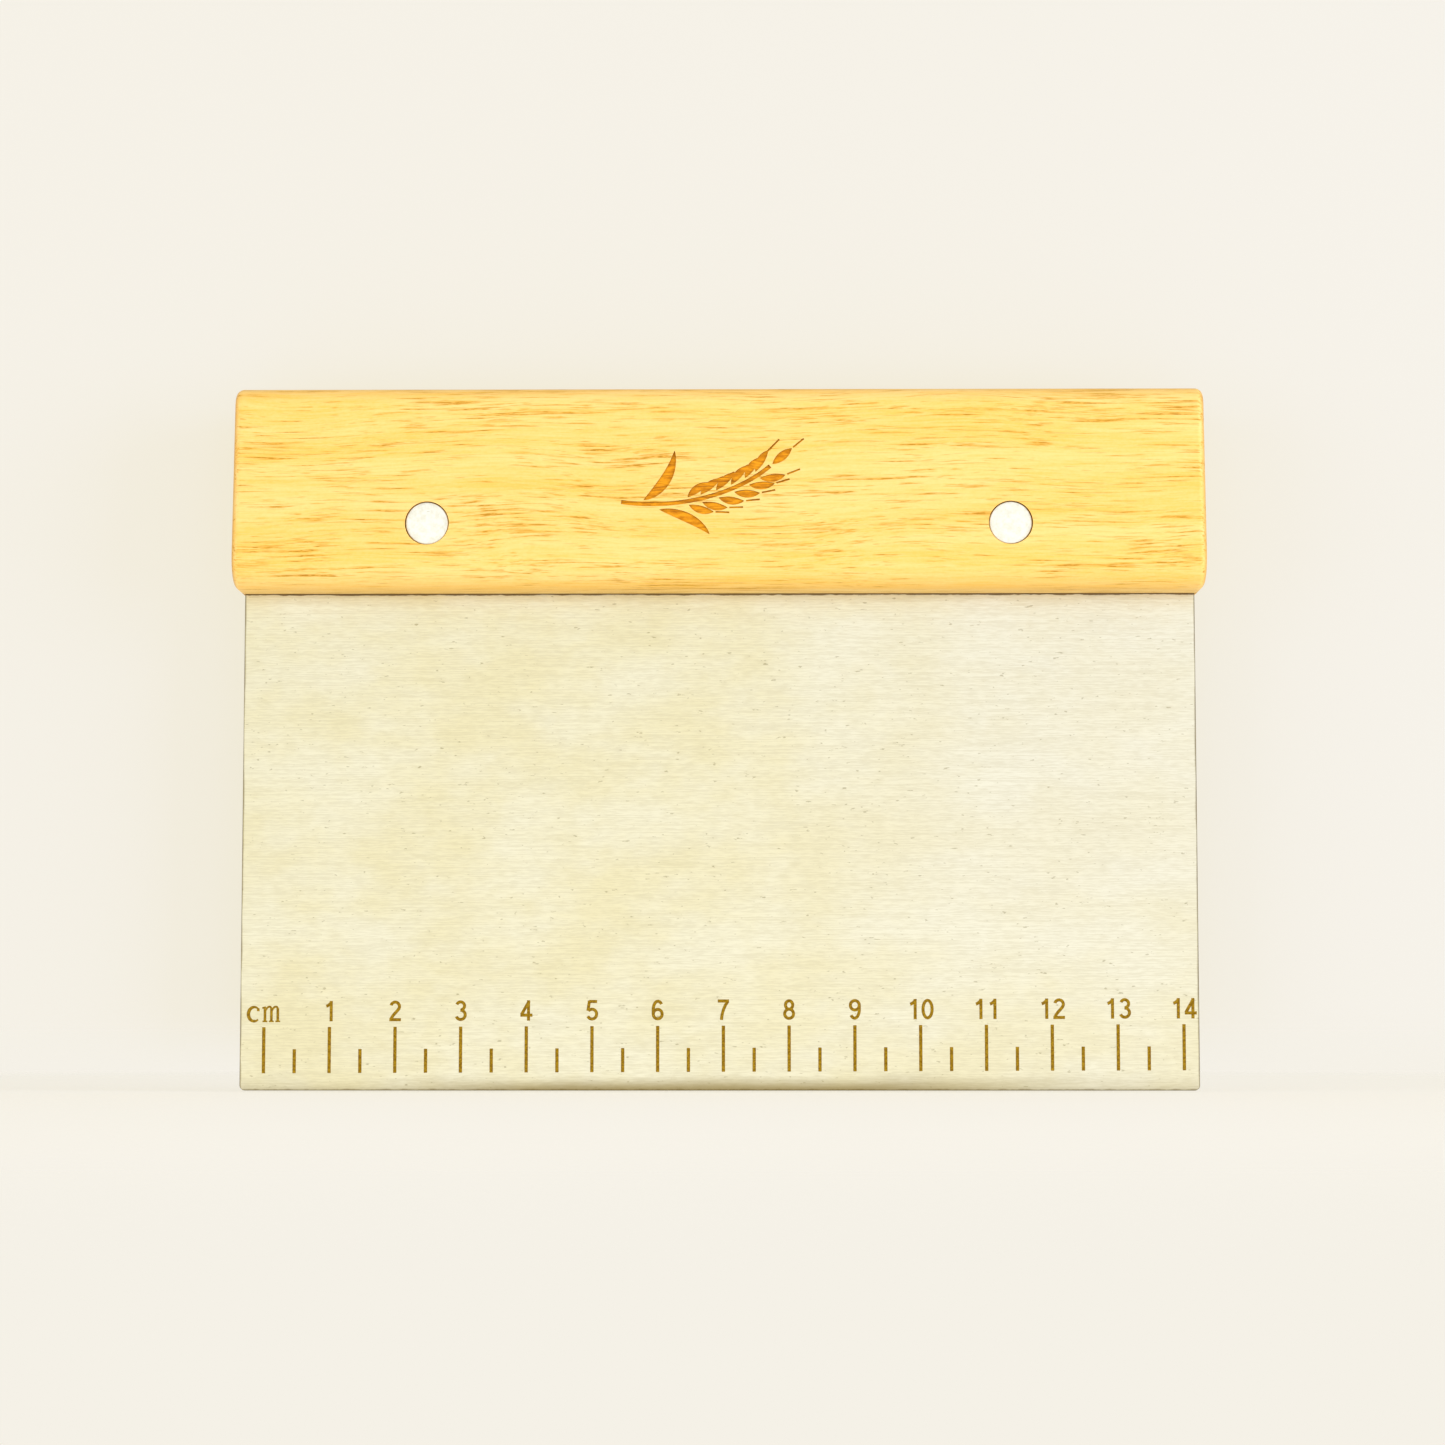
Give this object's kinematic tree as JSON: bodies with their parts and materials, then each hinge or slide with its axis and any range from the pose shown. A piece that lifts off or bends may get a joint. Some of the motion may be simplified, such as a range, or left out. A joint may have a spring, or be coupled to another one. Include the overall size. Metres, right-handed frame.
{
  "type": "bench scraper",
  "caption": "Bench scraper for dough: a straight stainless steel blade held by rivets in the sawn slot of a tapered hardwood handle.",
  "frame": {"origin": "middle of the scraping edge, at its lowest point and in the blade's middle plane", "axes": "+X along the scraping edge, to the right of a viewer who faces the scale; +Y through the blade from its front, which carries the scale, to its back; +Z from the scraping edge up to the handle"},
  "size_m": [0.148, 0.0192, 0.1071],
  "materials": {
    "wood": "smooth sanded and lightly oiled light hardwood, rubberwood in look, with short dark pores along the handle and a burnt-in motif on the front",
    "stainless_steel": "finely brushed along the scraping edge, with a dark laser-marked centimetre scale on the front",
    "aluminium": "bright satin rivet heads"
  },
  "bodies": {
    "root": {"handle": "wood", "blade": "stainless_steel", "left_rivet_pin": "aluminium", "left_rivet_sleeve": "aluminium", "right_rivet_pin": "aluminium", "right_rivet_sleeve": "aluminium"}
  },
  "joints": []
}
